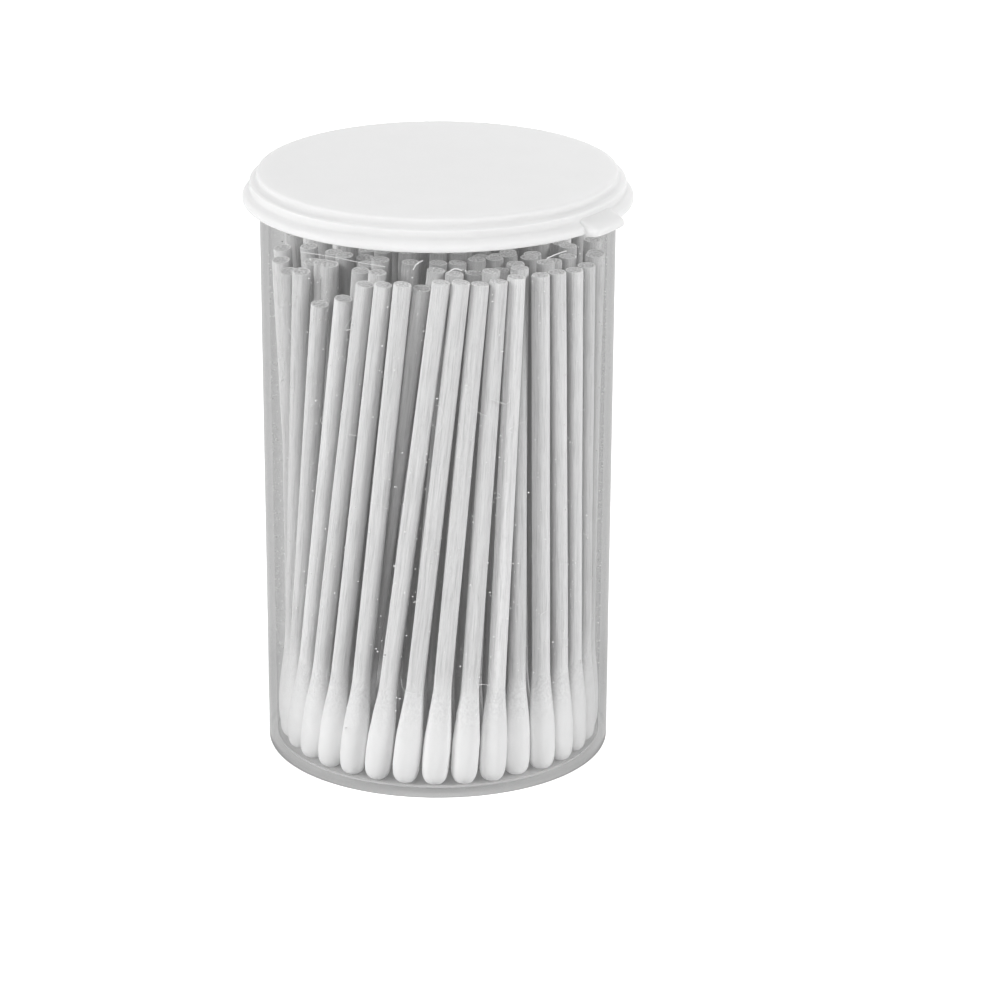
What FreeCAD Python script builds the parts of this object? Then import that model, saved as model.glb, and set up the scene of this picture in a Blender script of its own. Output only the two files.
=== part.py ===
import FreeCAD, Part
import math
import os
import random

import Sketcher

Vector = FreeCAD.Vector

# Cotton swab tub: a clear moulded tub with a white snap lid, full of wooden swabs that stand cotton
# end down on its floor. Millimetres, +Z up, origin at the centre of the base, front towards -Y.
SIZES = {
    "tub_base_diameter": (50.0, "outside, at the base"),
    "tub_draft": (0.6, "how far the wall leans out on each side from base to rim, to leave its mould"),
    "tub_height": (84.95, "base to rim"),
    "tub_wall": (1.2, "thickness of the wall"),
    "tub_floor": (1.1, "thickness of the floor"),
    "tub_corner": (0.8, "rounding of the base's outer edge"),
    "floor_corner": (0.5, "rounding between floor and wall, inside"),
    "bead_reach": (0.4, "how far the rim's bead stands out of the wall"),
    "bead_depth": (1.1, "height of the rim's bead"),
    "bead_bevel": (0.2, "bevel of the bead's top edge"),
    "lid_panel": (1.0, "thickness of the lid's flat top"),
    "lid_step": (1.4, "from the rim up to the underside of the flat top"),
    "band_wall": (0.8, "thickness of the lid's band, which goes over the rim's bead"),
    "band_rise": (0.85, "from the rim up to the band's top edge"),
    "band_bevel": (0.25, "bevel of the band's top edge"),
    "ledge_width": (1.05, "from the band in to the raised disc of the lid's top"),
    "ledge_rise": (0.3, "how much the ledge climbs from the band to the disc"),
    "disc_round": (0.35, "rounding of the disc's edge"),
    "flange_reach": (1.1, "how far the flange at the skirt's foot stands out of the band"),
    "skirt_depth": (2.1, "from the rim down to the skirt's foot"),
    "flange_flare": (1.65, "height at which the flare leaves the band, above the skirt's foot"),
    "flange_crown": (1.0, "height of the flare's outer corner, above the skirt's foot"),
    "flange_slant": (0.1, "how far the flange's side leans in, from foot to crown"),
    "flange_foot": (0.25, "bevel at the foot of the flange"),
    "flange_round": (0.2, "rounding of the flare's outer corner"),
    "skirt_lead": (0.5, "bevel inside the skirt's foot, which guides it over the bead"),
    "plug_depth": (1.4, "how far the lid's plug ring reaches into the mouth"),
    "plug_wall": (1.0, "thickness of the plug ring"),
    "plug_lead": (0.3, "bevel at the plug ring's foot"),
    "rim_clearance": (0.2, "between the rim and the lid's skirt, and between the rim and the plug ring"),
    "tab_reach": (1.6, "how far the thumb tab stands out of the flange"),
    "tab_thickness": (1.05, "height of the thumb tab's outer face"),
    "tab_drop": (0.15, "how far the tab hangs below the skirt's foot"),
    "tab_rise": (2.1, "height at which the tab's sloping top meets the band, above the skirt's foot"),
    "tab_width": (8.6, "width of the thumb tab"),
    "tab_turn": (55.5, "degrees from the front round to the tab"),
    "tab_corner": (1.3, "rounding of the tab's outer corners"),
    "tab_edge": (0.4, "rounding of the tab's top edge"),
    "stick_diameter": (2.6, "birch stick of a swab"),
    "swab_length": (76.2, "overall, with its cotton"),
    "cotton_cover": (1.3, "cotton over the stick's end"),
    "cotton_length": (13.2, "cotton bud, end to end"),
    "cotton_diameter": (4.0, "fattest part of the bud"),
    "cotton_belly": (3.0, "height of the fattest part above the bud's end"),
    "cotton_waist": (6.5, "height at which the bud starts to narrow"),
    "cotton_nose": (1.9, "diameter of the bud's end"),
    "cotton_brow": (3.5, "diameter of the bud just above its end"),
    "cotton_brow_height": (0.95, "height of that diameter above the end"),
    "cotton_hem": (2.85, "diameter where the bud runs out on the stick"),
    "stick_fit": (0.02, "between the stick and the cotton round it"),
    "foot_clearance": (0.1, "between the outer buds and the wall"),
    "head_clearance": (0.25, "between the outer sticks' tops and the wall"),
    "floor_clearance": (0.03, "between a bud and the floor it stands on"),
    "swab_clearance": (0.12, "least space between two swabs"),
    "swab_trim": (0.6, "how much longer or shorter than the rest a swab may be"),
    "swab_stray": (1.0, "how far an inner swab's top may stand nearer the middle than its ring"),
    "side_drop": (2.2, "how much lower the swabs at the sides end than those at the front"),
    "foot_pitch": (4.25, "from bud to bud along a ring"),
    "ring_pitch": (4.0, "from ring to ring"),
}

# The swabs stand in rings and lean to one side together, as a handful does when it is dropped in. Angles
# are in degrees from the front, growing towards +X.
FIRST_FOOT = -1.1
LEAN = 12.0
SWIRL = 23.0
SWIRL_PHASE = 80.0
# where sticks bunch together at the top: the foot's angle, how wide the bunch is, and its shift
HEAD_BUNCHES = ((-40.0, 9.0, -6.0), (48.0, 14.0, -5.0))
FOOT_BUNCHES = ((52.0, 18.0, -3.0),)
# outer swabs that were cut short, by their place in the ring: what is missing, in stick diameters
SHORT = {25: 1.65, 26: 1.0, 7: 0.33}
# single swabs that stand out of line, by ring and place: foot radius, foot angle, top radius, top angle.
# The radii are counted inwards from the outer ring, in ring pitches.
STRAYS = {(0, 3): (0.575, 31.0, 0.65, 34.0), (1, 23): (1.0, -42.0, 0.0, -6.3)}
SECOND_RING_FOOT = 0.5
# how closely the lower swabs keep to the two sides: the power of the sine of their angle
SIDE_ONLY = 4
# the swabs in the middle lean less, by this share
MIDDLE_UPRIGHT = 0.45
LOOSE_LEAN = 5.0
SEED = 4
# the outer swabs that face the front are pieces of their own, the others are grouped by ring
FRONT_ARC = 135.0
SETTLE_ROUNDS = 400
# how much of the clearance may still be missing when the swabs count as settled
SETTLED = 0.08
# pairs whose axes pass further apart than this many bud diameters can't touch
NEAR = 1.5
# flat sides round a cotton bud
COTTON_SIDES = 16


def make_sheet(doc):
    """The driving sizes, one row each: name, size, what it measures."""
    sheet = doc.addObject("Spreadsheet::Sheet", "Sizes")
    for row, (name, (size, note)) in enumerate(SIZES.items(), start=1):
        sheet.set("A%d" % row, name)
        sheet.set("B%d" % row, str(size))
        sheet.set("C%d" % row, note)
        sheet.setAlias("B%d" % row, name)
    doc.recompute()
    return sheet


def origin_plane(body, role):
    return next(f for f in body.Origin.OriginFeatures if f.Role == role)


def profile_sketch(body, name, corners):
    """A closed outline on the body's XZ plane. Each corner is (radius, height), as expressions of the
    sheet, or 0 for a corner on the axis or at the base."""
    sketch = body.newObject("Sketcher::SketchObject", name)
    sketch.AttachmentSupport = [(origin_plane(body, "XZ_Plane"), "")]
    sketch.MapMode = "FlatFace"
    count = len(corners)
    start = [Vector(sketch.evalExpression(str(radius)), sketch.evalExpression(str(height)), 0)
             for radius, height in corners]
    for i in range(count):
        sketch.addGeometry(Part.LineSegment(start[i], start[(i + 1) % count]), False)
    for i in range(count):
        sketch.addConstraint(Sketcher.Constraint("Coincident", i, 2, (i + 1) % count, 1))
    for i, (radius, height) in enumerate(corners):
        if radius == 0:
            sketch.addConstraint(Sketcher.Constraint("PointOnObject", i, 1, -2))
        else:
            place = sketch.addConstraint(Sketcher.Constraint("DistanceX", -1, 1, i, 1, start[i].x))
            sketch.renameConstraint(place, "radius_%d" % i)
            sketch.setExpression("Constraints.radius_%d" % i, radius)
        if height == 0:
            sketch.addConstraint(Sketcher.Constraint("PointOnObject", i, 1, -1))
        else:
            place = sketch.addConstraint(Sketcher.Constraint("DistanceY", -1, 1, i, 1, start[i].y))
            sketch.renameConstraint(place, "height_%d" % i)
            sketch.setExpression("Constraints.height_%d" % i, height)
    return sketch


def turned(body, name, sketch, angle="360"):
    """The outline turned about the body's upright axis."""
    solid = body.newObject("PartDesign::Revolution", name)
    solid.Profile = sketch
    solid.ReferenceAxis = (sketch, ["V_Axis"])
    solid.Midplane = True
    solid.setExpression("Angle", angle)
    solid.Document.recompute()
    return solid


def ring_edges(shape, outline, corner):
    """The names of the round edges that one corner of the outline turns into."""
    place = outline.getPoint(corner, 1)
    return ["Edge%d" % (i + 1) for i, edge in enumerate(shape.Edges)
            if isinstance(edge.Curve, Part.Circle) and abs(edge.Curve.Radius - place.x) < 1e-4
            and abs(edge.Curve.Center.z - place.y) < 1e-4]


def rounded(body, name, base, edges, radius):
    fillet = body.newObject("PartDesign::Fillet", name)
    fillet.Base = (base, edges)
    fillet.setExpression("Radius", radius)
    fillet.Document.recompute()
    return fillet


def make_tub(doc):
    """Clear tub, moulded in one piece: flat floor, slightly tapered wall, and a bead round the rim that
    the lid snaps over."""
    body = doc.addObject("PartDesign::Body", "Tub")
    body.Label = "tub"
    base = "Sizes.tub_base_diameter / 2"
    mouth = base + " + Sizes.tub_draft"
    bead_foot = "(Sizes.tub_height - Sizes.bead_depth)"
    # the wall's radius where the bead begins
    bead_root = "%s + Sizes.tub_draft * %s / Sizes.tub_height" % (base, bead_foot)
    base_edge = (base, 0)
    floor_edge = (base + " - Sizes.tub_wall", "Sizes.tub_floor")
    corners = [
        (0, 0),
        base_edge,
        (bead_root, bead_foot),
        (mouth + " + Sizes.bead_reach", bead_foot + " + Sizes.bead_reach"),
        (mouth + " + Sizes.bead_reach", "Sizes.tub_height - Sizes.bead_bevel"),
        (mouth + " + Sizes.bead_reach - Sizes.bead_bevel", "Sizes.tub_height"),
        (mouth + " - Sizes.tub_wall", "Sizes.tub_height"),
        floor_edge,
        (0, "Sizes.tub_floor"),
    ]
    outline = profile_sketch(body, "TubOutline", corners)
    solid = turned(body, "TubTurned", outline)
    edges = ring_edges(solid.Shape, outline, corners.index(base_edge))
    solid = rounded(body, "TubCorner", solid, edges, "Sizes.tub_corner")
    edges = ring_edges(solid.Shape, outline, corners.index(floor_edge))
    rounded(body, "FloorCorner", solid, edges, "Sizes.floor_corner")
    return body


def tab_corner_edges(shape, reach):
    """The two upright edges at the outer corners of the thumb tab."""
    found = []
    for i, edge in enumerate(shape.Edges):
        ends = [v.Point for v in edge.Vertexes]
        if len(ends) != 2 or abs(ends[0].x - ends[1].x) + abs(ends[0].y - ends[1].y) > 1e-4:
            continue
        if abs(math.hypot(ends[0].x, ends[0].y) - reach) < 1e-3:
            found.append("Edge%d" % (i + 1))
    return found


def tab_top_edges(shape, reach, height):
    """The outer top edges of the tab: its long arc and the arcs of its rounded corners."""
    found = []
    for i, edge in enumerate(shape.Edges):
        ends = [v.Point for v in edge.Vertexes]
        level = all(abs(p.z - height) < 1e-3 for p in ends)
        if len(ends) == 2 and level and min(math.hypot(p.x, p.y) for p in ends) > reach - 0.02:
            found.append("Edge%d" % (i + 1))
    return found


def make_lid(doc, sheet):
    """White lid, moulded in one piece: raised disc, band over the rim's bead, flared flange, plug ring
    inside the mouth, and a thumb tab. Its underside rests on the rim."""
    body = doc.addObject("PartDesign::Body", "Lid")
    body.Label = "lid"
    rim = "Sizes.tub_height"
    foot = "Sizes.tub_height - Sizes.skirt_depth"
    mouth = "Sizes.tub_base_diameter / 2 + Sizes.tub_draft"
    plug_outer = mouth + " - Sizes.tub_wall - Sizes.rim_clearance"
    plug_inner = plug_outer + " - Sizes.plug_wall"
    skirt_inner = mouth + " + Sizes.bead_reach + Sizes.rim_clearance"
    band = skirt_inner + " + Sizes.band_wall"
    band_top = rim + " + Sizes.band_rise"
    flange = band + " + Sizes.flange_reach"
    disc = band + " - Sizes.ledge_width"
    ceiling = rim + " + Sizes.lid_step"
    top = ceiling + " + Sizes.lid_panel"
    disc_edge = (disc, top)
    crown = (flange + " - Sizes.flange_slant", foot + " + Sizes.flange_crown")
    corners = [
        (0, ceiling),
        (plug_inner, ceiling),
        (plug_inner, rim + " - Sizes.plug_depth"),
        (plug_outer + " - Sizes.plug_lead", rim + " - Sizes.plug_depth"),
        (plug_outer, rim + " - Sizes.plug_depth + Sizes.plug_lead"),
        (plug_outer, rim),
        (skirt_inner, rim),
        (skirt_inner, foot + " + Sizes.skirt_lead"),
        (skirt_inner + " + Sizes.skirt_lead", foot),
        (flange + " - Sizes.flange_foot", foot),
        (flange, foot + " + Sizes.flange_foot"),
        crown,
        (band, foot + " + Sizes.flange_flare"),
        (band, band_top + " - Sizes.band_bevel"),
        (band + " - Sizes.band_bevel", band_top),
        (disc, band_top + " + Sizes.ledge_rise"),
        disc_edge,
        (0, top),
    ]
    outline = profile_sketch(body, "LidOutline", corners)
    solid = turned(body, "LidTurned", outline)
    edges = ring_edges(solid.Shape, outline, corners.index(disc_edge))
    solid = rounded(body, "DiscEdge", solid, edges, "Sizes.disc_round")
    edges = ring_edges(solid.Shape, outline, corners.index(crown))
    rounded(body, "FlangeCrown", solid, edges, "Sizes.flange_round")

    # the tab's section, turned through the arc that its width takes up
    reach = flange + " + Sizes.tab_reach"
    # the tab's section reaches halfway into the band, so that the two are one
    root = skirt_inner + " + Sizes.band_wall / 2"
    tab_foot = foot + " - Sizes.tab_drop"
    outer_edge = (reach, tab_foot + " + Sizes.tab_thickness")
    corners = [
        (skirt_inner + " + Sizes.skirt_lead", tab_foot),
        (reach, tab_foot),
        outer_edge,
        (band, foot + " + Sizes.tab_rise"),
        (root, foot + " + Sizes.tab_rise"),
        (root, foot + " + Sizes.skirt_lead"),
        (skirt_inner + " + Sizes.skirt_lead", foot),
    ]
    section = profile_sketch(body, "TabSection", corners)
    # the sketch lies along +X, a quarter turn from the front, and turns from there about the upright axis
    section.AttachmentOffset = FreeCAD.Placement(Vector(), FreeCAD.Rotation(Vector(0, 1, 0), sheet.tab_turn - 90))
    section.setExpression("AttachmentOffset.Rotation.Angle", "Sizes.tab_turn - 90")
    tab = turned(body, "TabTurned", section,
                 "2 * asin(Sizes.tab_width / 2 / (%s))" % reach)
    outer = section.getPoint(corners.index(outer_edge), 1)
    tab = rounded(body, "TabCorners", tab, tab_corner_edges(tab.Shape, outer.x), "Sizes.tab_corner")
    brow = tab_top_edges(tab.Shape, outer.x - sheet.tab_corner, outer.y)
    rounded(body, "TabBrow", tab, brow, "Sizes.tab_edge")
    return body


def polar(radius, angle):
    """A point at that radius, with the angle in degrees from the front towards +X."""
    return [radius * math.sin(math.radians(angle)), -radius * math.cos(math.radians(angle))]


def bunched(angle, bunches):
    """The shift that the bunches give at that angle."""
    shift = 0.0
    for middle, width, amount in bunches:
        away = (angle - middle + 180) % 360 - 180
        shift += amount * math.exp(-(away / width) ** 2)
    return shift


def ring_plan(outer, sheet):
    """Radius and number of swabs of each ring, from the outside in, with one swab in the middle if there
    is room for it."""
    radius = outer
    while 2 * radius > sheet.foot_pitch:
        yield radius, int(math.pi / math.asin(sheet.foot_pitch / (2 * radius)))
        radius -= sheet.ring_pitch
    if radius + sheet.ring_pitch > sheet.foot_pitch:
        yield 0.0, 1


def wall_inside(height, sheet):
    """The tub's inner radius at that height."""
    return sheet.tub_base_diameter / 2 - sheet.tub_wall + sheet.tub_draft * height / sheet.tub_height


def swab_limits(sheet):
    """The largest radii for the axis of a swab at its foot and at its top."""
    foot = wall_inside(sheet.tub_floor, sheet) - sheet.cotton_diameter / 2 - sheet.foot_clearance
    top = wall_inside(sheet.tub_floor + sheet.swab_length, sheet)
    return foot, top - sheet.stick_diameter / 2 - sheet.head_clearance


def first_places(sheet):
    """Every swab before they settle against each other: its length, and where its axis is at the floor,
    its foot, and one swab length above it, its head."""
    chance = random.Random(SEED)
    foot_limit, head_limit = swab_limits(sheet)
    swabs = []
    for ring, (radius, count) in enumerate(ring_plan(foot_limit, sheet)):
        start = (FIRST_FOOT, SECOND_RING_FOOT)[ring] if ring < 2 else chance.uniform(0, 360)
        loose = LOOSE_LEAN if ring else 1.0
        depth = foot_limit - radius
        for place in range(count):
            angle = (start + 360.0 * place / count + 180) % 360 - 180
            lean = LEAN + SWIRL * math.cos(math.radians(angle + SWIRL_PHASE)) + bunched(angle, HEAD_BUNCHES)
            lean *= 1 - MIDDLE_UPRIGHT * depth / foot_limit
            head_angle = angle + lean + chance.uniform(-loose, loose)
            head_radius = head_limit - depth
            if ring:
                head_radius += chance.uniform(-sheet.swab_stray, sheet.swab_stray / 2)
            foot_angle = angle + bunched(angle, FOOT_BUNCHES) if ring == 0 else angle
            foot_radius = radius
            length = sheet.swab_length + chance.uniform(-sheet.swab_trim, sheet.swab_trim)
            length -= sheet.side_drop * abs(math.sin(math.radians(head_angle))) ** SIDE_ONLY
            if ring == 0:
                length -= SHORT.get(place, 0.0) * sheet.stick_diameter
            if (ring, place) in STRAYS:
                foot_depth, foot_angle, head_depth, head_angle = STRAYS[(ring, place)]
                foot_radius = foot_limit - foot_depth * sheet.ring_pitch
                head_radius = head_limit - head_depth * sheet.ring_pitch
            swabs.append({
                "ring": ring,
                "angle": angle,
                "foot": polar(foot_radius, foot_angle),
                "head": polar(max(head_radius, 0.0), head_angle),
                "length": length,
            })
    return swabs


def cotton_girth(sheet):
    """(height, radius) down the outside of a bud, from its end to its hem."""
    return [
        (0.0, sheet.cotton_nose / 2),
        (sheet.cotton_brow_height, sheet.cotton_brow / 2),
        (sheet.cotton_belly, sheet.cotton_diameter / 2),
        (sheet.cotton_waist, sheet.cotton_diameter / 2),
        (sheet.cotton_length, sheet.cotton_hem / 2),
    ]


def closest(foot_gap, head_gap):
    """Where along their length, from 0 to 1, two swabs pass nearest, and how near."""
    change = [head_gap[0] - foot_gap[0], head_gap[1] - foot_gap[1]]
    size = change[0] ** 2 + change[1] ** 2
    at = 0.0
    if size > 1e-9:
        at = -(foot_gap[0] * change[0] + foot_gap[1] * change[1]) / size
        at = min(max(at, 0.0), 1.0)
    return at, math.hypot(foot_gap[0] + at * change[0], foot_gap[1] + at * change[1])


def gaps_between(first, second):
    foot = [a - b for a, b in zip(first["foot"], second["foot"])]
    head = [a - b for a, b in zip(first["head"], second["head"])]
    return foot, head


def settle(swabs, sheet):
    """Pushes the swabs apart where two of them would share space, and back inside the wall, until all
    of them are clear."""
    foot_limit, head_limit = swab_limits(sheet)
    length = sheet.swab_length
    levels = [(height / length, radius) for height, radius in cotton_girth(sheet)]
    bare = sheet.cotton_length / length
    stick = sheet.stick_diameter / 2
    for _ in range(SETTLE_ROUNDS):
        pairs = [(a, b) for i, a in enumerate(swabs) for b in swabs[:i]
                 if closest(*gaps_between(a, b))[1] < NEAR * sheet.cotton_diameter]
        worst = 0.0
        for first, second in pairs:
            foot, head = gaps_between(first, second)
            slope = math.hypot(head[0] - foot[0], head[1] - foot[1]) / length
            lean = max(math.dist(s["foot"], s["head"]) / length for s in (first, second))
            widen = math.sqrt(1 + lean ** 2 + slope ** 2)
            nearest = max(closest(foot, head)[0], bare)
            for at, radius in levels + [(nearest, stick), (1.0, stick)]:
                foot, head = gaps_between(first, second)
                apart = [f + at * (h - f) for f, h in zip(foot, head)]
                distance = math.hypot(*apart)
                short = 2 * radius * widen + sheet.swab_clearance - distance
                if short <= 0:
                    continue
                worst = max(worst, short)
                push = short / 2 / ((1 - at) ** 2 + at ** 2) / max(distance, 1e-6)
                for axis in (0, 1):
                    for swab, side in ((first, push), (second, -push)):
                        swab["foot"][axis] += side * apart[axis] * (1 - at)
                        swab["head"][axis] += side * apart[axis] * at
        for swab in swabs:
            for end, limit in (("foot", foot_limit), ("head", head_limit)):
                reach = math.hypot(*swab[end])
                if reach > limit:
                    swab[end] = [c * limit / reach for c in swab[end]]
        if worst < SETTLED * sheet.swab_clearance:
            break
    return swabs


def swab_placement(swab, sheet):
    """The swab's own frame: its origin at the bud's end and its Z along the stick, so that the lowest
    point of the leaning bud stands just clear of the floor."""
    across = [h - f for f, h in zip(swab["foot"], swab["head"])]
    axis = Vector(across[0], across[1], sheet.swab_length).normalize()
    sink = max(radius * math.sqrt(1 - axis.z ** 2) - height * axis.z for height, radius in cotton_girth(sheet))
    base = Vector(swab["foot"][0], swab["foot"][1], sheet.tub_floor + sink + sheet.floor_clearance)
    return FreeCAD.Placement(base, FreeCAD.Rotation(Vector(0, 0, 1), axis))


def make_stick(doc, name, swab, sheet):
    """A round birch stick, cut square at both ends. Its lower end is inside the cotton."""
    stick = doc.addObject("Part::Cylinder", name)
    stick.setExpression("Radius", "Sizes.stick_diameter / 2")
    trim = swab["length"] - sheet.swab_length
    stick.setExpression("Height", "Sizes.swab_length - Sizes.cotton_cover + %.3f" % trim)
    place = swab_placement(swab, sheet)
    stick.Placement = place.multiply(FreeCAD.Placement(Vector(0, 0, sheet.cotton_cover), FreeCAD.Rotation()))
    return stick


def cotton_ring(height, radius):
    """The corners of a bud at one height."""
    turns = [2 * math.pi * i / COTTON_SIDES for i in range(COTTON_SIDES)]
    return [Vector(radius * math.cos(turn), radius * math.sin(turn), height) for turn in turns]


def cotton_shape(sheet):
    """A wound cotton bud: blunt end, fat belly and long taper, many-sided all round, with a blind socket
    that holds the stick."""
    # the flats of the socket, not its corners, are what the stick touches
    socket = (sheet.stick_diameter / 2 + sheet.stick_fit) / math.cos(math.pi / COTTON_SIDES)
    girth = cotton_girth(sheet) + [(sheet.cotton_length, socket), (sheet.cotton_cover, socket)]
    rings = [cotton_ring(height, radius) for height, radius in girth]
    faces = [Part.Face(Part.makePolygon(ring + ring[:1])) for ring in (rings[0], rings[-1])]
    for low, high in zip(rings, rings[1:]):
        for i in range(COTTON_SIDES):
            corners = [low[i - 1], low[i], high[i], high[i - 1], low[i - 1]]
            faces.append(Part.Face(Part.makePolygon(corners)))
    bud = Part.Solid(Part.Shell(faces))
    if bud.Volume < 0:
        bud.reverse()
    return bud


def make_cotton(doc, name, shape, swab, sheet):
    bud = doc.addObject("Part::Feature", name)
    bud.Shape = shape.copy()
    bud.Placement = swab_placement(swab, sheet)
    return bud


def grouped(doc, label, members):
    """Like pieces kept together as one sub-part of separate solids."""
    group = doc.addObject("Part::Compound", label)
    group.Links = members
    group.Label = label
    return group


def make_swabs(doc, sheet):
    """All the swabs. The outer ones that face the front are sub-parts of their own."""
    swabs = settle(first_places(sheet), sheet)
    cotton = cotton_shape(sheet)
    names = ["rear", "second_ring", "third_ring", "fourth_ring"]
    groups = {}
    parts = []
    outer = sorted((s for s in swabs if s["ring"] == 0), key=lambda s: s["angle"])
    front = [s for s in outer if abs(s["angle"]) <= FRONT_ARC]
    for number, swab in enumerate(front, start=1):
        stick = make_stick(doc, "OuterStick%02d" % number, swab, sheet)
        stick.Label = "outer_stick_%02d" % number
        bud = make_cotton(doc, "OuterCotton%02d" % number, cotton, swab, sheet)
        bud.Label = "outer_cotton_%02d" % number
        parts += [stick, bud]
    for number, swab in enumerate(s for s in swabs if s not in front):
        group = names[swab["ring"]] if swab["ring"] < len(names) else "core"
        sticks, buds = groups.setdefault(group, ([], []))
        sticks.append(make_stick(doc, "InnerStick%03d" % number, swab, sheet))
        buds.append(make_cotton(doc, "InnerCotton%03d" % number, cotton, swab, sheet))
    for group, (sticks, buds) in groups.items():
        parts.append(grouped(doc, group + "_sticks", sticks))
        parts.append(grouped(doc, group + "_cottons", buds))
    return parts


def check(doc, parts):
    """Stops if any object failed or any sub-part isn't a sound solid."""
    doc.recompute()
    for thing in doc.Objects:
        if "Invalid" in thing.State or "Error" in thing.State:
            raise RuntimeError("%s failed: %s" % (thing.Label, thing.State))
    for part in parts:
        if part.Shape.isNull() or not part.Shape.isValid() or not part.Shape.Solids:
            raise RuntimeError("%s has no sound shape" % part.Label)


def main():
    doc = FreeCAD.newDocument("SwabTub")
    sheet = make_sheet(doc)
    parts = [make_tub(doc), make_lid(doc, sheet)] + make_swabs(doc, sheet)
    check(doc, parts)
    os.makedirs("parts", exist_ok=True)
    for part in parts:
        part.Shape.exportStep("parts/%s.step" % part.Label)
    print(len(parts), "sub-parts")


main()
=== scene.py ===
import bmesh
import bpy
import math
import random
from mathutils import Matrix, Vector, noise


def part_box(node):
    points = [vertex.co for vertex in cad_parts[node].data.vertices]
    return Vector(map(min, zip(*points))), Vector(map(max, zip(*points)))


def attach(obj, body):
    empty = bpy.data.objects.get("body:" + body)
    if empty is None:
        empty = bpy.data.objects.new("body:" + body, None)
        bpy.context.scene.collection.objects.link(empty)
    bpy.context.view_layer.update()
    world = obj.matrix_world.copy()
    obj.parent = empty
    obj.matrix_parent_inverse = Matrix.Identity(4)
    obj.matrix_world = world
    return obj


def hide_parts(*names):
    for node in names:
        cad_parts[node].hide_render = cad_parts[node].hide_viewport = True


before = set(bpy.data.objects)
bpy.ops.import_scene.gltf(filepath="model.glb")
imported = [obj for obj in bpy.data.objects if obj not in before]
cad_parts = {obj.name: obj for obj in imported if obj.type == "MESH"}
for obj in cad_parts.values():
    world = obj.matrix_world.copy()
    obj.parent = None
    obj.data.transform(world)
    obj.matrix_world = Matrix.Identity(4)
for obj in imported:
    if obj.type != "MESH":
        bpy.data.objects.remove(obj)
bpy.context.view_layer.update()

# The tub: one cup moulded in clear hard plastic. The wall leans out a little towards the mouth, the
# floor meets it in a round corner, and a bead round the rim is what the lid grips.
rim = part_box("tub")[1].z
bead_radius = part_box("tub")[1].x
bead_reach = 0.0004
bead_depth = 0.0011
bead_round = 0.0002
wall = 0.0012
tub_floor = 0.0011
tub_draft = 0.0006
base_corner = 0.0008
floor_corner = 0.0005
mouth = bead_radius - bead_reach
base = mouth - tub_draft
# the mark that the mould's gate leaves under the base, and its narrower inner end
gate_radius = 0.0011
gate_end = gate_radius * 0.8
gate_depth = 0.00015
# where the floor's upper face is divided, so that its triangles are not too long
floor_ring = 0.012
TUB_STEPS = 180


def polar(radius, angle, height):
    """A point at that radius and height, with the angle in degrees from the front towards +X."""
    turn = math.radians(angle)
    return Vector((radius * math.sin(turn), -radius * math.cos(turn), height))


def arc(radius, height, size, start, end, steps=6):
    """Points of a round corner with its centre at (radius, height), from one angle to another."""
    turns = [math.radians(start + (end - start) * i / steps) for i in range(steps + 1)]
    return [(radius + size * math.cos(turn), height + size * math.sin(turn)) for turn in turns]


def wall_radius(height):
    """The outside of the tub's wall at that height."""
    return base + tub_draft * height / rim


def even(start, end, steps):
    """Points from one (radius, height) to another, without the two themselves."""
    return [tuple(a + (b - a) * i / steps for a, b in zip(start, end)) for i in range(1, steps)]


def piece(name, points, faces, material, sharp=35.0):
    """An object of its own with that mesh and material, smooth but for edges sharper than the angle."""
    mesh = bpy.data.meshes.new(name)
    mesh.from_pydata([tuple(point) for point in points], [], faces)
    mesh.shade_smooth()
    mesh.set_sharp_from_angle(angle=math.radians(sharp))
    mesh.materials.append(material)
    made = bpy.data.objects.new(name, mesh)
    bpy.context.scene.collection.objects.link(made)
    return made


def turned(outline, steps):
    """Points and faces of an outline of (radius, height) turned about the upright axis. It runs from the
    axis at the bottom, round the outside, to the axis again."""
    points = []
    rings = []
    for radius, height in outline:
        if radius < 1e-7:
            rings.append([len(points)] * steps)
            points.append(Vector((0, 0, height)))
        else:
            rings.append(list(range(len(points), len(points) + steps)))
            points += [polar(radius, 360.0 * i / steps, height) for i in range(steps)]
    faces = []
    for low, high in zip(rings, rings[1:]):
        for i in range(steps):
            corners = (low[i - 1], low[i], high[i], high[i - 1])
            faces.append(tuple(dict.fromkeys(corners)))
    return points, faces


def finish(name, **sockets):
    """A new material, its node tree and its shader, with the shader's plain sockets set by name."""
    made = bpy.data.materials.new(name)
    made.use_nodes = True
    shader = made.node_tree.nodes["Principled BSDF"]
    for socket, value in sockets.items():
        shader.inputs[socket.replace("_", " ")].default_value = value
    return made, made.node_tree, shader


def node(tree, kind, inputs=None, **settings):
    """A node with its settings, and its inputs set to values or joined to other nodes' outputs."""
    made = tree.nodes.new(kind)
    for name, value in settings.items():
        setattr(made, name, value)
    for name, value in (inputs or {}).items():
        if isinstance(value, bpy.types.NodeSocket):
            tree.links.new(value, made.inputs[name])
        else:
            made.inputs[name].default_value = value
    return made


def sum_up(tree, kind, first, second, clamp=False):
    """The result of a sum of two values or outputs."""
    return node(tree, "ShaderNodeMath", {0: first, 1: second}, operation=kind, use_clamp=clamp).outputs[0]


def spread(tree, value, low, high, start=0.0, end=1.0):
    """A value brought from the range low to high into the range start to end, and kept in it."""
    inputs = {"Value": value, "From Min": low, "From Max": high, "To Min": start, "To Max": end}
    return node(tree, "ShaderNodeMapRange", inputs).outputs["Result"]


def grey(value):
    return (value, value, value, 1.0)


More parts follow.
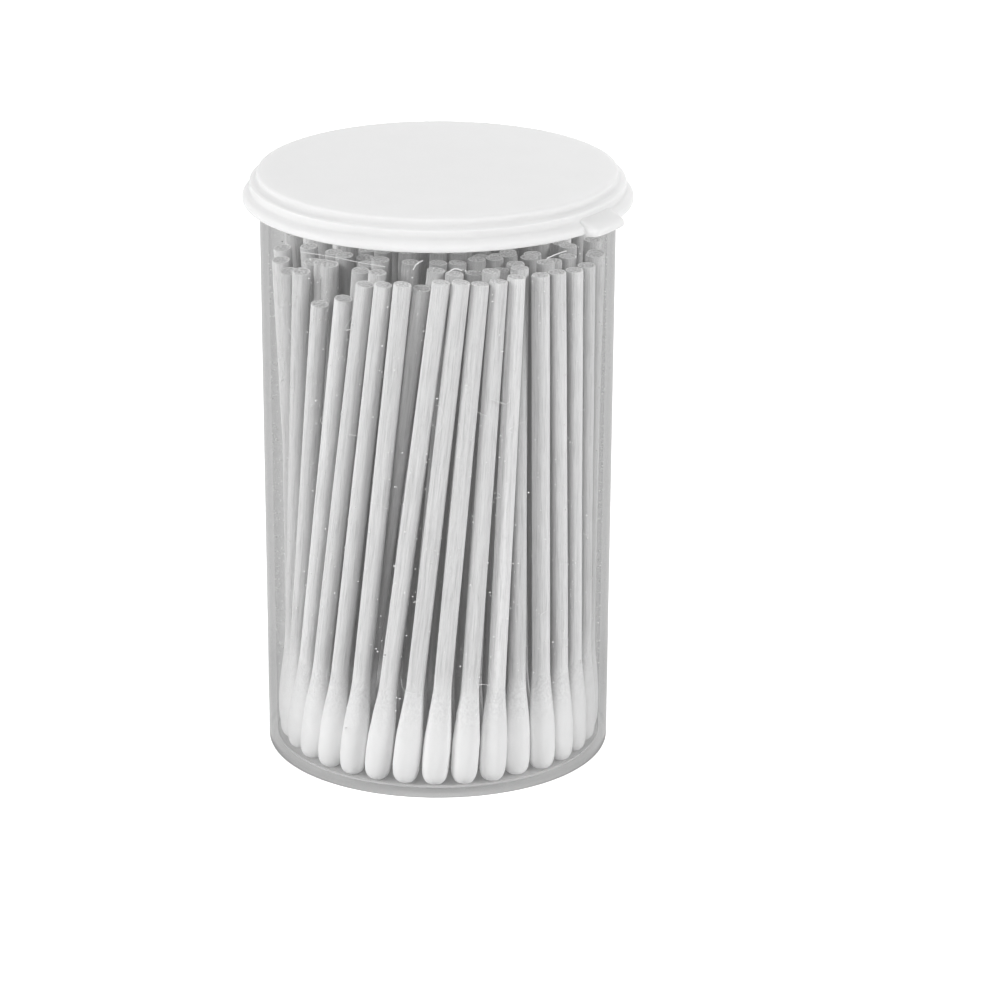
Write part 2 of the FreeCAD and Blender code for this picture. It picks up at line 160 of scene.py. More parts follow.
def blend_of(tree, share, first, second):
    """Two colours, or their outputs, blended by a share of the second."""
    made = node(tree, "ShaderNodeMix", data_type="RGBA")
    for socket, value in (("Factor_Float", share), ("A_Color", first), ("B_Color", second)):
        place = next(s for s in made.inputs if s.identifier == socket)
        if isinstance(value, bpy.types.NodeSocket):
            tree.links.new(value, place)
        else:
            place.default_value = value
    return next(s for s in made.outputs if s.identifier == "Result_Color")


# how many waves and grains a moulded surface has to a metre unless a piece says otherwise, the part of
# its height that is waves, and how rare its specks are
MOULD_WAVES = 90.0
MOULD_GRAINS = 2500.0
wave_share = 0.7
SPECK_RANGE = (0.66, 0.74)


def moulded_skin():
    """Shared by the moulded pieces: the faint waviness and specks of a moulded plastic surface."""
    group = bpy.data.node_groups.new("moulded skin", "ShaderNodeTree")
    face = group.interface
    face.new_socket("Waves", in_out="INPUT", socket_type="NodeSocketFloat").default_value = MOULD_WAVES
    face.new_socket("Grains", in_out="INPUT", socket_type="NodeSocketFloat").default_value = MOULD_GRAINS
    face.new_socket("Height", in_out="OUTPUT", socket_type="NodeSocketFloat")
    face.new_socket("Specks", in_out="OUTPUT", socket_type="NodeSocketFloat")
    start = group.nodes.new("NodeGroupInput")
    end = group.nodes.new("NodeGroupOutput")
    place = node(group, "ShaderNodeTexCoord").outputs["Object"]
    wide = {"Vector": place, "Scale": start.outputs["Waves"], "Detail": 2.0}
    wave = node(group, "ShaderNodeTexNoise", wide).outputs["Fac"]
    narrow = {"Vector": place, "Scale": start.outputs["Grains"], "Detail": 3.0}
    fine = node(group, "ShaderNodeTexNoise", narrow).outputs["Fac"]
    waves = sum_up(group, "MULTIPLY", wave, wave_share)
    grains = sum_up(group, "MULTIPLY", fine, 1.0 - wave_share)
    group.links.new(sum_up(group, "ADD", waves, grains), end.inputs["Height"])
    group.links.new(spread(group, fine, *SPECK_RANGE), end.inputs["Specks"])
    return group


skin = moulded_skin()

# the clear plastic: its haze and what it lets through
CLEAR_HAZE = grey(0.75)
CLEAR_TINT = grey(0.985)
BLACK = grey(0.0)
WHITE = grey(1.0)
haze = 0.03
# where a face counts as seen edge on, and how much darker it is then outside and in the cavity
EDGE_RANGE = (0.40, 0.80)
edge_dark_outside = 0.24
edge_dark_inside = 0.07
foot_dark = 0.06
# its reflections: from the front, glancing, how steeply one turns into the other, and at the foot
gloss_front = 0.035
gloss_glancing = 0.28
gloss_power = 5.0
gloss_foot = 0.15
gloss_blur = 0.06
# how milky the floor and its round corner look
floor_milk = 0.60
corner_milk = 0.25
# distances from the axis and heights, each from where a zone's tone begins to where it is full
CAVITY_RANGE = (base - wall + 0.0005, base - wall + 0.0002)
UNDER_RANGE = (0.0009, 0.0007)
FLOOR_RANGE = (0.0018, 0.0013)
CORNER_RISE = (0.0011, 0.0012)
CORNER_FALL = (0.0017, 0.0014)
FOOT_RANGE = (0.0018, 0.0012)
GLOSS_RANGE = (0.0010, 0.0018)


def base_zones(tree):
    """Masks over the tub: its height, its cavity, the floor's upper face, the corner round that, and the
    foot of the wall with the underside."""
    place = node(tree, "ShaderNodeTexCoord").outputs["Object"]
    height = node(tree, "ShaderNodeSeparateXYZ", {"Vector": place}).outputs["Z"]
    flat = {0: place, 1: (1.0, 1.0, 0.0)}
    outwards = node(tree, "ShaderNodeVectorMath", flat, operation="MULTIPLY").outputs[0]
    from_axis = node(tree, "ShaderNodeVectorMath", {0: outwards}, operation="LENGTH").outputs["Value"]
    # the wall's inner face is further out the higher it is, as the wall leans out
    lean = sum_up(tree, "MULTIPLY", height, tub_draft / rim)
    cavity = spread(tree, sum_up(tree, "SUBTRACT", from_axis, lean), *CAVITY_RANGE)
    under = spread(tree, height, *UNDER_RANGE)
    floor = sum_up(tree, "SUBTRACT", spread(tree, height, *FLOOR_RANGE), under)
    floor = sum_up(tree, "MULTIPLY", floor, cavity)
    corner = sum_up(tree, "MULTIPLY", spread(tree, height, *CORNER_RISE), spread(tree, height, *CORNER_FALL))
    corner = sum_up(tree, "MULTIPLY", corner, cavity)
    outside = sum_up(tree, "SUBTRACT", 1.0, cavity)
    foot = sum_up(tree, "MULTIPLY", spread(tree, height, *FOOT_RANGE), outside)
    foot = sum_up(tree, "MAXIMUM", foot, under)
    return height, cavity, floor, corner, foot


def clear_plastic():
    """Clear hard plastic: seen through, darker where it is seen edge on and at its foot, milky on the
    floor and in the corner round it, and with faint mould waves in what it reflects."""
    made, tree, shader = finish("clear plastic", Roughness=0.5, Base_Color=CLEAR_HAZE)
    out = tree.nodes["Material Output"]
    marks = node(tree, "ShaderNodeGroup", {"Waves": 70.0, "Grains": 1800.0}, node_tree=skin)
    waves = {"Height": marks.outputs["Height"], "Strength": 0.06, "Distance": 0.0004}
    bump = node(tree, "ShaderNodeBump", waves).outputs["Normal"]
    edge = node(tree, "ShaderNodeLayerWeight", {"Blend": 0.5}).outputs["Facing"]
    height, cavity, floor, corner, foot = base_zones(tree)
    most = spread(tree, cavity, 0.0, 1.0, edge_dark_outside, edge_dark_inside)
    edge_on = sum_up(tree, "MULTIPLY", spread(tree, edge, *EDGE_RANGE), most)
    dark = sum_up(tree, "ADD", edge_on, sum_up(tree, "MULTIPLY", foot, foot_dark))
    tint = blend_of(tree, dark, CLEAR_TINT, BLACK)
    # light for the swabs inside passes as if the wall were not there
    rays = node(tree, "ShaderNodeLightPath")
    passing = sum_up(tree, "MAXIMUM", rays.outputs["Is Shadow Ray"], rays.outputs["Is Diffuse Ray"])
    seen = blend_of(tree, passing, tint, WHITE)
    through = node(tree, "ShaderNodeBsdfTransparent", {"Color": seen}).outputs[0]
    mirror = {"Color": WHITE, "Roughness": gloss_blur, "Normal": bump}
    shine = node(tree, "ShaderNodeBsdfGlossy", mirror).outputs[0]
    # only the face turned to the light reflects: the far side of the same wall is inside the plastic
    inside = node(tree, "ShaderNodeNewGeometry").outputs["Backfacing"]
    steep = sum_up(tree, "MULTIPLY", sum_up(tree, "POWER", edge, gloss_power), gloss_glancing)
    open_face = sum_up(tree, "SUBTRACT", 1.0, sum_up(tree, "MAXIMUM", inside, passing))
    gloss = sum_up(tree, "MULTIPLY", sum_up(tree, "ADD", steep, gloss_front), open_face)
    gloss = sum_up(tree, "MULTIPLY", gloss, spread(tree, height, *GLOSS_RANGE, gloss_foot, 1.0))
    milky = sum_up(tree, "ADD", sum_up(tree, "MULTIPLY", floor, floor_milk), haze)
    milky = sum_up(tree, "ADD", milky, sum_up(tree, "MULTIPLY", corner, corner_milk), True)
    veil = node(tree, "ShaderNodeMixShader", {0: milky, 1: through, 2: shader.outputs[0]}).outputs[0]
    whole = node(tree, "ShaderNodeMixShader", {0: gloss, 1: veil, 2: shine}).outputs[0]
    tree.links.new(whole, out.inputs["Surface"])
    return made


bead_foot = rim - bead_depth
tub_outline = [(0, gate_depth), (gate_end, gate_depth), (gate_radius, 0)]
tub_outline += arc(base - base_corner, base_corner, base_corner, -90, -1)
tub_outline += even((base, base_corner), (wall_radius(bead_foot), bead_foot), 10)
tub_outline += [(wall_radius(bead_foot), bead_foot), (bead_radius, bead_foot + bead_reach)]
tub_outline += arc(bead_radius - bead_round, rim - bead_round, bead_round, 0, 90, 4)
tub_outline += arc(mouth - wall + bead_round, rim - bead_round, bead_round, 90, 180, 4)
tub_outline += even((mouth - wall, rim - bead_round), (base - wall, tub_floor + floor_corner), 10)
tub_outline += arc(base - wall - floor_corner, tub_floor + floor_corner, floor_corner, 0, -90, 5)
tub_outline += [(floor_ring, tub_floor), (0, tub_floor)]
tub = piece("clear_tub", *turned(tub_outline, TUB_STEPS), clear_plastic())
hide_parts("tub")
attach(tub, "tub")

# The sticks: round birch splints, sawn square at both ends. They stand cotton down and lean together;
# each one follows the axis of its solid in the frame, and is a little out of round and bowed.
stick_radius = 0.0013
cotton_cover = 0.0013
STICK_SIDES = 18
STICK_RINGS = 14
# how far a stick is bowed and the least and most of that, by what share it is out of round, and how many
# such bumps there are round it and to a metre
bow = 0.00006
BOW_SHARES = (0.2, 1)
out_of_round = 0.02
bumps_round = 1.3
bumps_along = 60
# the sawn end: how far its edge is broken, the shares of the radius where the mesh has rings, and the
# height and number of its saw marks
edge_break = 0.0001
SAWN_RINGS = (0.96, 0.82, 0.45)
saw_height = 0.00006
saw_marks = 2.5
# the mark that the mesh stores on the sawn end falls by this from the middle to the edge; where the
# material reads it as cut wood, and where as the light rim
cut_fall = 0.25
CUT_RANGE = (0.74, 0.76)
RIM_RANGE = (0.805, 0.775)
# every stick and bud takes its grain from a place of its own, so far apart in the wood and in the noise
grain_span = 0.5
noise_span = 80
BIRCH = grey(0.90)
BIRCH_DARK = grey(0.78)
BIRCH_PORE = grey(0.54)
BIRCH_CUT = grey(0.36)
BIRCH_RIM = grey(0.80)
COTTON = grey(0.93)
# how many streaks, pores, flecks, frayed tufts and end-grain spots there are to a metre across the stick
# and along it, and how much detail each noise has
STREAKS = (2000.0, 35.0, 3.0)
PORES = (7500.0, 200.0, 2.0)
FLECKS = (5000.0, 2500.0, 2.0)
TUFTS = (3000.0, 900.0, 3.0)
END_GRAIN = (3000.0, 0.0, 4.0)
# from which value of the noise a mark begins, where it is full, and its strength there
STREAK_RANGE = (0.38, 0.72)
PORE_RANGE = (0.50, 0.70, 0.0, 0.6)
FLECK_RANGE = (0.56, 0.72, 0.0, 0.35)
END_RANGE = (0.38, 0.62)
# how light the darkest and the lightest sticks are, counting both their own tone and the painted shade of the
# inner rings
TONE_AND_SHADE_RANGE = (-6.0, 2.0, 0.64, 1.08)
# painted shade: the inner rings' wood is made darker, ring by ring inwards, in the steps that single sticks
# vary by
RING_PAINTED_SHADE = {"outer": 0.0, "rear": 0.0, "second": -2.4}
INNER_PAINTED_SHADE = -6.0
# the film of cotton on the wood: the heights where it ends and where it is full, how full that is, and
# how ragged its end is
FILM_RANGE = (0.0180, 0.0135, 0.0, 0.6)
film_fray = 0.004
# how much of the light that a stick passes on to the next is lost
gap_loss = 0.78


def lone_solids(node_name):
    """The corner points of each separate solid of a CAD node, in an order that is the same every time."""
    work = bmesh.new()
    work.from_mesh(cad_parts[node_name].data)
    bmesh.ops.remove_doubles(work, verts=work.verts, dist=1e-7)
    work.verts.index_update()
    left = {corner.index for corner in work.verts}
    solids = []
    for seed in work.verts:
        if seed.index not in left:
            continue
        left.remove(seed.index)
        edge = [seed]
        found = []
        while edge:
            corner = edge.pop()
            found.append(corner.co.copy())
            for link in corner.link_edges:
                other = link.other_vert(corner)
                if other.index in left:
                    left.remove(other.index)
                    edge.append(other)
        solids.append(found)
    work.free()
    return sorted(solids, key=lambda found: tuple(sum(found, Vector()) / len(found)))


def stick_axes(node_name):
    """The two ends of the axis of each stick in a CAD node, the one in the cotton first."""
    axes = []
    for corners in lone_solids(node_name):
        middle = sum(corners, Vector()) / len(corners)
        low = [p for p in corners if p.z < middle.z]
        high = [p for p in corners if p.z >= middle.z]
        axes.append((sum(low, Vector()) / len(low), sum(high, Vector()) / len(high)))
    return axes


def cross_axes(along):
    """Two directions square to that one and to each other."""
    first = along.cross(Vector((0, 1, 0))).normalized()
    return first, along.cross(first).normalized()


def marked(made, name, kind, values):
    """Stores one value for each point of the mesh, for the material to read."""
    layer = made.data.attributes.new(name, kind, "POINT")
    key = "vector" if kind == "FLOAT_VECTOR" else "value"
    layer.data.foreach_set(key, [c for value in values for c in value] if key == "vector" else values)


def birch_sticks(name, axes, ring_painted_shade, material, chance):
    """One mesh of all the sticks on those axes. Each has its cut top as points of its own, so that its
    edge is crisp and its grain differs from the side's."""
    points, faces, grain, tone, along_stick, cut = [], [], [], [], [], []
    for foot, tip in axes:
        along = (tip - foot).normalized()
        length = (tip - foot).length
        first, second = cross_axes(along)
        shift = Vector([chance.uniform(0, grain_span) for _ in range(3)])
        # each stick's own random tone plus the painted shade of its ring, stored with the points as their
        # tone
        tone_and_painted_shade = chance.gauss(0, 1) + ring_painted_shade
        bend = chance.uniform(0, 2 * math.pi)
        bow_way = (first * math.cos(bend) + second * math.sin(bend)) * bow * chance.uniform(*BOW_SHARES)
        heights = [length * i / STICK_RINGS for i in range(STICK_RINGS)] + [length - edge_break]
        rings = [(height, 1.0, 0.0) for height in heights] + [(length, SAWN_RINGS[0], 0.0)]
        rings += [(length, share, 1.0) for share in SAWN_RINGS]
        start = len(points)
        for height, share, is_cut in rings:
            centre = foot + along * height + bow_way * math.sin(math.pi * height / length)
            for side in range(STICK_SIDES):
                turn = 2 * math.pi * side / STICK_SIDES
                way = first * math.cos(turn) + second * math.sin(turn)
                rough = noise.noise(way * bumps_round + shift * noise_span + along * height * bumps_along)
                radius = stick_radius * share * (1 + out_of_round * rough)
                lift = saw_height * noise.noise(way * share * saw_marks + shift * noise_span) * is_cut
                points.append(centre + way * radius + along * lift)
                across = Vector((math.cos(turn) * radius, math.sin(turn) * radius, height))
                grain.append(tuple(across + shift))
                tone.append(tone_and_painted_shade)
                along_stick.append(height + cotton_cover)
                cut.append(is_cut * (1.0 - share * cut_fall))
        for ring in range(len(rings) - 1):
            low = start + ring * STICK_SIDES
            if rings[ring][2] != rings[ring + 1][2]:
                continue
            for side in range(STICK_SIDES):
                before = (side - 1) % STICK_SIDES
                faces.append((low + before, low + side, low + STICK_SIDES + side, low + STICK_SIDES + before))
        last = start + (len(rings) - 1) * STICK_SIDES
        faces.append(tuple(range(last, last + STICK_SIDES)))
        faces.append(tuple(range(start + STICK_SIDES - 1, start - 1, -1)))
    made = piece(name, points, faces, material)
    marked(made, "grain", "FLOAT_VECTOR", grain)
    marked(made, "tone", "FLOAT", tone)
    marked(made, "along", "FLOAT", along_stick)
    marked(made, "cut", "FLOAT", cut)
    return made


def stored(tree, name, output="Fac"):
    """What the mesh stores under that name, as an output."""
    return node(tree, "ShaderNodeAttribute", attribute_name=name).outputs[output]


def stretched(tree, place, across, along, detail):
    """Noise in streaks along the piece: its sizes are how many there are to a metre."""
    scaled = node(tree, "ShaderNodeVectorMath", {0: place, 1: (across, across, along)}, operation="MULTIPLY")
    inputs = {"Vector": scaled.outputs[0], "Scale": 1.0, "Detail": detail, "Roughness": 0.6}
    return node(tree, "ShaderNodeTexNoise", inputs).outputs["Fac"]


def birch():
    """Bare birch: pale, with fine lengthwise pores and streaks, a darker sawn end with a light rim, and
    a film of cotton fibres where the bud runs out on the stick."""
    made, tree, shader = finish("birch", Roughness=0.8, Diffuse_Roughness=0.8, Specular_IOR_Level=0.2,
                                Sheen_Weight=0.2)
    place = stored(tree, "grain", "Vector")
    streaks = stretched(tree, place, *STREAKS)
    pores = stretched(tree, place, *PORES)
    flecks = stretched(tree, place, *FLECKS)
    wood = blend_of(tree, spread(tree, streaks, *STREAK_RANGE), BIRCH, BIRCH_DARK)
    wood = blend_of(tree, spread(tree, pores, *PORE_RANGE), wood, BIRCH_PORE)
    wood = blend_of(tree, spread(tree, flecks, *FLECK_RANGE), wood, BIRCH_PORE)
    # the stored tone darkens the inner rings' sticks as painted shade, besides each stick's own lighter or
    # darker tone
    stick_lightness_with_shade = spread(tree, stored(tree, "tone"), *TONE_AND_SHADE_RANGE)
    wood = node(tree, "ShaderNodeVectorMath", {0: wood, 1: stick_lightness_with_shade}, operation="MULTIPLY").outputs[0]
    tufts = sum_up(tree, "SUBTRACT", stretched(tree, place, *TUFTS), 0.5)
    reach = sum_up(tree, "ADD", stored(tree, "along"), sum_up(tree, "MULTIPLY", tufts, film_fray))
    wood = blend_of(tree, spread(tree, reach, *FILM_RANGE), wood, COTTON)
    cut = stored(tree, "cut")
    end_grain = stretched(tree, place, *END_GRAIN)
    sawn = blend_of(tree, spread(tree, end_grain, *END_RANGE), BIRCH_CUT, BIRCH_DARK)
    sawn = blend_of(tree, spread(tree, cut, *RIM_RANGE), sawn, BIRCH_RIM)
    wood = blend_of(tree, spread(tree, cut, *CUT_RANGE), wood, sawn)
    # light that has already met a stick comes back weaker, so that the gaps between the sticks are deep
    again = node(tree, "ShaderNodeLightPath").outputs["Is Diffuse Ray"]
    wood = blend_of(tree, sum_up(tree, "MULTIPLY", again, gap_loss), wood, BLACK)
    tree.links.new(wood, shader.inputs["Base Color"])
    relief = {"Height": sum_up(tree, "ADD", streaks, pores), "Strength": 0.35, "Distance": 0.00008}
    bump = node(tree, "ShaderNodeBump", relief).outputs["Normal"]
    tree.links.new(bump, shader.inputs["Normal"])
    return made


birch_made = birch()
stick_nodes = sorted(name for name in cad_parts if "stick" in name)
chance = random.Random(11)
swab_axes = {}
for name in stick_nodes:
    swab_axes[name] = stick_axes(name)
    # the sticks of the inner rings are given darker wood here as painted shade
    ring_painted_shade = RING_PAINTED_SHADE.get(name.split("_")[0], INNER_PAINTED_SHADE)
    sticks = birch_sticks(name.replace("stick", "splint"), swab_axes[name], ring_painted_shade, birch_made, chance)
    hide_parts(name)
    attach(sticks, "tub")

# The cotton buds: cotton wound tightly on the stick's lower end, fat near the end and running out in a
# thin ragged film up the stick. Each follows its own stick's axis.
BUD_SIDES = 28
# heights above the bud's end and radii there, in millimetres
BUD_GIRTH = (
    (0.0, 0.0), (0.04, 0.6), (0.2, 1.12), (0.5, 1.46), (1.0, 1.74), (1.8, 1.90), (3.0, 1.98), (5.0, 2.00),
    (6.5, 1.97), (8.0, 1.88), (9.5, 1.75), (11.0, 1.60), (12.2, 1.48), (13.2, 1.40), (14.2, 1.34),
    (15.0, 1.24),
)
# the heights of the rings round the bud's end, the step between those above them, and the height of the
# one point in the middle of the end
BUD_END = (0.04, 0.12, 0.25, 0.45, 0.7)
BUD_STEP = 0.45
bud_tip = 0.01
# edges sharper than this many degrees stay crisp
bud_crease = 80.0
# lumps: their share of the girth, and how many there are round the bud and to a millimetre
lump_share = 0.022
lumps_round = 0.9
lumps_along = 0.35
# windings: their share of the girth, their number, and how far they turn in a millimetre, in radians
wound_share = 0.012
windings = 2.2
wound_turn = 0.25
# the ragged upper edge: where it begins, over what height it grows, how far it strays, and its tufts
ragged_start = 11.5
ragged_height = 3.5
ragged_reach = 1.6
ragged_tufts = 3.1
MILLIMETRE = 0.001
# how far the fibres bend from their own direction, and how many bends there are to a metre
curl_reach = 0.0012
CURLS = 900.0
# fibres and clumps to a metre across the bud and along it, and how much detail each noise has
FIBRES = (4200.0, 2600.0, 4.0)
CLUMPS = (700.0, 450.0, 2.0)
CLUMP_RANGE = (0.35, 0.7)
FIBRE_RANGE = (0.40, 0.60)
CLUMP_GREY = grey(0.89)
# the cotton thins out over the wood between these heights, down to these two greys
THIN_RANGE = (0.0060, 0.0125)
THIN_DARK = grey(0.74)
THIN_LIGHT = grey(0.90)


def bud_radius(height):
    """The bud's radius at a height above its end, both in millimetres, by straight steps."""
    for (low, first), (high, second) in zip(BUD_GIRTH, BUD_GIRTH[1:]):
        if height <= high:
            share = (height - low) / (high - low)
            return first + (second - first) * share
    return BUD_GIRTH[-1][1]


def cotton_buds(name, axes, material, chance):
    """One mesh of the wound buds of those sticks, each lumpy in its own way."""
    heights = list(BUD_END)
    while heights[-1] < BUD_GIRTH[-1][0] - BUD_STEP:
        heights.append(heights[-1] + BUD_STEP)
    points, faces, grain, along_bud = [], [], [], []
    for foot, tip in axes:
        along = (tip - foot).normalized()
        nose = foot - along * cotton_cover
        first, second = cross_axes(along)
        shift = Vector([chance.uniform(0, grain_span) for _ in range(3)])
        own = shift * noise_span
        start = len(points)
        points.append(nose + along * MILLIMETRE * bud_tip)
        grain.append(tuple(shift))
        along_bud.append(0.0)
        for height in heights:
            late = max(0.0, (height - ragged_start) / ragged_height)
            for side in range(BUD_SIDES):
                turn = 2 * math.pi * side / BUD_SIDES
                way = first * math.cos(turn) + second * math.sin(turn)
                lumps = noise.noise(way * lumps_round + along * height * lumps_along + own)
                twist = turn + height * wound_turn
                wound = noise.noise(Vector((math.cos(twist), math.sin(twist), height)) * windings + own)
                radius = bud_radius(height) * (1 + lump_share * lumps + wound_share * wound) * MILLIMETRE
                ragged = late * ragged_reach * noise.noise(way * ragged_tufts + own)
                points.append(nose + along * (height + ragged) * MILLIMETRE + way * radius)
                across = Vector((math.cos(turn) * radius, math.sin(turn) * radius, height * MILLIMETRE))
                grain.append(tuple(across + shift))
                along_bud.append(height * MILLIMETRE)
        for side in range(BUD_SIDES):
            faces.append((start, start + 1 + side, start + 1 + (side - 1) % BUD_SIDES))
        for ring in range(len(heights) - 1):
            low = start + 1 + ring * BUD_SIDES
            for side in range(BUD_SIDES):
                before = (side - 1) % BUD_SIDES
                faces.append((low + before, low + side, low + BUD_SIDES + side, low + BUD_SIDES + before))
    made = piece(name, points, faces, material, bud_crease)
    marked(made, "grain", "FLOAT_VECTOR", grain)
    marked(made, "along", "FLOAT", along_bud)
    return made


def cotton():
    """Wound cotton: bright, soft and matt, with a fuzz of fine curling fibres, greyer where it thins out
    over the wood."""
    made, tree, shader = finish("wound cotton", Roughness=0.95, Specular_IOR_Level=0.1, Sheen_Weight=0.25,
                                Sheen_Roughness=0.6, Subsurface_Weight=0.25,
                                Subsurface_Radius=(1.0, 1.0, 1.0), Subsurface_Scale=0.0006)
    place = stored(tree, "grain", "Vector")
    warp = node(tree, "ShaderNodeTexNoise", {"Vector": place, "Scale": CURLS, "Detail": 2.0}).outputs["Color"]
    bend = {0: warp, 1: (curl_reach, curl_reach, curl_reach)}
    curl = node(tree, "ShaderNodeVectorMath", bend, operation="MULTIPLY").outputs[0]
    bent = node(tree, "ShaderNodeVectorMath", {0: place, 1: curl}, operation="ADD").outputs[0]
    fibres = stretched(tree, bent, *FIBRES)
    clumps = stretched(tree, place, *CLUMPS)
    thin = spread(tree, stored(tree, "along"), *THIN_RANGE)
    pale = blend_of(tree, spread(tree, clumps, *CLUMP_RANGE), COTTON, CLUMP_GREY)
    thinned = blend_of(tree, spread(tree, fibres, *FIBRE_RANGE), THIN_DARK, THIN_LIGHT)
    pale = blend_of(tree, thin, pale, thinned)
    tree.links.new(pale, shader.inputs["Base Color"])
    relief = {"Height": fibres, "Strength": 0.4, "Distance": 0.0001}
    bump = node(tree, "ShaderNodeBump", relief).outputs["Normal"]
    tree.links.new(bump, shader.inputs["Normal"])
    return made


cotton_made = cotton()
for name in stick_nodes:
    cotton_node = name.replace("stick", "cotton")
    buds = cotton_buds(cotton_node.replace("cotton", "bud"), swab_axes[name], cotton_made, chance)
    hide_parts(cotton_node)
    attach(buds, "tub")

# Lint: specks of cotton dust and a few loose fibres that cling to the inside of the clear wall, and dark
# grains that came off the sawn sticks.
LINT_WHITE = grey(0.98)
LINT_GREY = grey(0.90)
DUST_DARK = grey(0.06)
DUST_GREY = grey(0.16)
PATCHES = 900.0
PATCH_RANGE = (0.35, 0.65)
wall_gap = 0.00006
# angles from the front, and the heights between which lint and dust cling
ROUND = (-180, 180)
SPECK_HEIGHTS = (0.012, 0.080)
CLUSTER_HEIGHTS = (0.02, 0.078)
FIBRE_HEIGHTS = (0.016, 0.076)
# loose specks, and clusters of them
LOOSE_SPECKS = 1300
LOOSE_SIZES = (0.00009, 0.00021)
CLUSTERS = 26
CLUSTER_SPECKS = (4, 12)
CLUSTER_SIZES = (0.00010, 0.00018)
cluster_turn = 3.0
cluster_rise = 0.003
cluster_top = 0.081
# short curled fibres: how many, how thick, the corners of each, and how far each corner strays
SHORT_FIBRES = 34
fibre_thickness = 0.00003
FIBRE_CORNERS = 4
fibre_play = 0.0001
fibre_turn = 2.2
fibre_rise = 0.0011
FIBRE_SIDES = 5
# a direction that no fibre runs in
OFF_FIBRES = Vector((0.3, 0.2, 0.93))
# loose fibres that stand out: thickness, then the angle from the front and the height along each one
LONG_FIBRES = (
    (0.00004, ((-53.0, 0.0791), (-43.7, 0.0796), (-35.4, 0.0798), (-27.3, 0.0797), (-17.6, 0.0795))),
    (0.00009, ((-8.2, 0.0793), (-7.3, 0.0800), (-6.2, 0.0804), (-4.9, 0.0807))),
    (0.00009, ((3.6, 0.0790), (4.8, 0.0794), (6.2, 0.0795), (8.0, 0.0792))),
    (0.00010, ((38.9, 0.0794), (42.0, 0.0796), (45.0, 0.0797), (48.2, 0.0797))),
)
# dark grains that stand out: the angle from the front and the height of each
DARK_GRAINS = (
    (-65.2, 0.0793), (-33.9, 0.0090), (-18.4, 0.0214), (61.2, 0.0016), (137.0, 0.0410), (-121.0, 0.0555),
)
dark_size = 0.00016
SMALL_GRAINS = 40
SMALL_SIZES = (0.00004, 0.00008)


def on_wall(angle, height, inwards=0.0):
    """A point just inside the tub's wall."""
    return polar(wall_radius(height) - wall - wall_gap - inwards, angle, height)


def add_grain(points, faces, centre, size, chance):
    """One speck: a small uneven lump of eight faces."""
    start = len(points)
    for way in ((1, 0, 0), (-1, 0, 0), (0, 1, 0), (0, -1, 0), (0, 0, 1), (0, 0, -1)):
        uneven = chance.uniform(0.5, 1.0)
        points.append(centre + Vector(way) * size * uneven)
    for side in ((0, 2), (2, 1), (1, 3), (3, 0)):
        faces.append((start + side[0], start + side[1], start + 4))
        faces.append((start + side[1], start + side[0], start + 5))


def add_fibre(points, faces, path, thickness):
    """One loose fibre: a thin round thread along those points, closed at both ends."""
    sides = FIBRE_SIDES
    start = len(points)
    for i, place in enumerate(path):
        along = (path[min(i + 1, len(path) - 1)] - path[max(i - 1, 0)]).normalized()
        first = along.cross(OFF_FIBRES).normalized()
        second = along.cross(first)
        for side in range(sides):
            turn = 2 * math.pi * side / sides
            points.append(place + (first * math.cos(turn) + second * math.sin(turn)) * thickness)
    for i in range(len(path) - 1):
        low = start + i * sides
        for side in range(sides):
            after = (side + 1) % sides
            faces.append((low + side, low + after, low + sides + after, low + sides + side))
    faces.append(tuple(range(start + sides - 1, start - 1, -1)))
    last = start + (len(path) - 1) * sides
    faces.append(tuple(range(last, last + sides)))


def smooth_path(corners, steps=6):
    """Points along a smooth curve through those corners."""
    places = []
    ends = [corners[0]] + list(corners) + [corners[-1]]
    for before, start, end, after in zip(ends, ends[1:], ends[2:], ends[3:]):
        for i in range(steps):
            t = i / steps
            bend = 2 * before - 5 * start + 4 * end - after
            twist = 3 * start - before - 3 * end + after
            places.append(0.5 * (2 * start + (end - before) * t + bend * t * t + twist * t ** 3))
    return places + [corners[-1]]


def lint_mesh(chance):
    """Points and faces of all the white lint: loose specks, clusters of specks, short curled fibres."""
    points, faces = [], []
    for _ in range(LOOSE_SPECKS):
        place = on_wall(chance.uniform(*ROUND), chance.uniform(*SPECK_HEIGHTS))
        add_grain(points, faces, place, chance.uniform(*LOOSE_SIZES), chance)
    for _ in range(CLUSTERS):
        angle = chance.uniform(*ROUND)
        height = chance.uniform(*CLUSTER_HEIGHTS)
        for _ in range(chance.randint(*CLUSTER_SPECKS)):
            aside = angle + chance.gauss(0, cluster_turn)
            place = on_wall(aside, min(cluster_top, height + chance.gauss(0, cluster_rise)))
            add_grain(points, faces, place, chance.uniform(*CLUSTER_SIZES), chance)
    for _ in range(SHORT_FIBRES):
        angle = chance.uniform(*ROUND)
        height = chance.uniform(*FIBRE_HEIGHTS)
        corners = []
        for _ in range(FIBRE_CORNERS):
            corners.append(on_wall(angle, height, chance.uniform(0, fibre_play)))
            angle += chance.gauss(0, fibre_turn)
            height += chance.gauss(0, fibre_rise)
        add_fibre(points, faces, smooth_path(corners, 4), fibre_thickness)
    for thickness, places in LONG_FIBRES:
        corners = [on_wall(angle, height, thickness) for angle, height in places]
        add_fibre(points, faces, smooth_path(corners), thickness)
    return points, faces


def dust_mesh(chance):
    """Points and faces of the dark grains."""
    points, faces = [], []
    for angle, height in DARK_GRAINS:
        add_grain(points, faces, on_wall(angle, height), dark_size, chance)
    for _ in range(SMALL_GRAINS):
        place = on_wall(chance.uniform(*ROUND), chance.uniform(*SPECK_HEIGHTS))
        add_grain(points, faces, place, chance.uniform(*SMALL_SIZES), chance)
    return points, faces


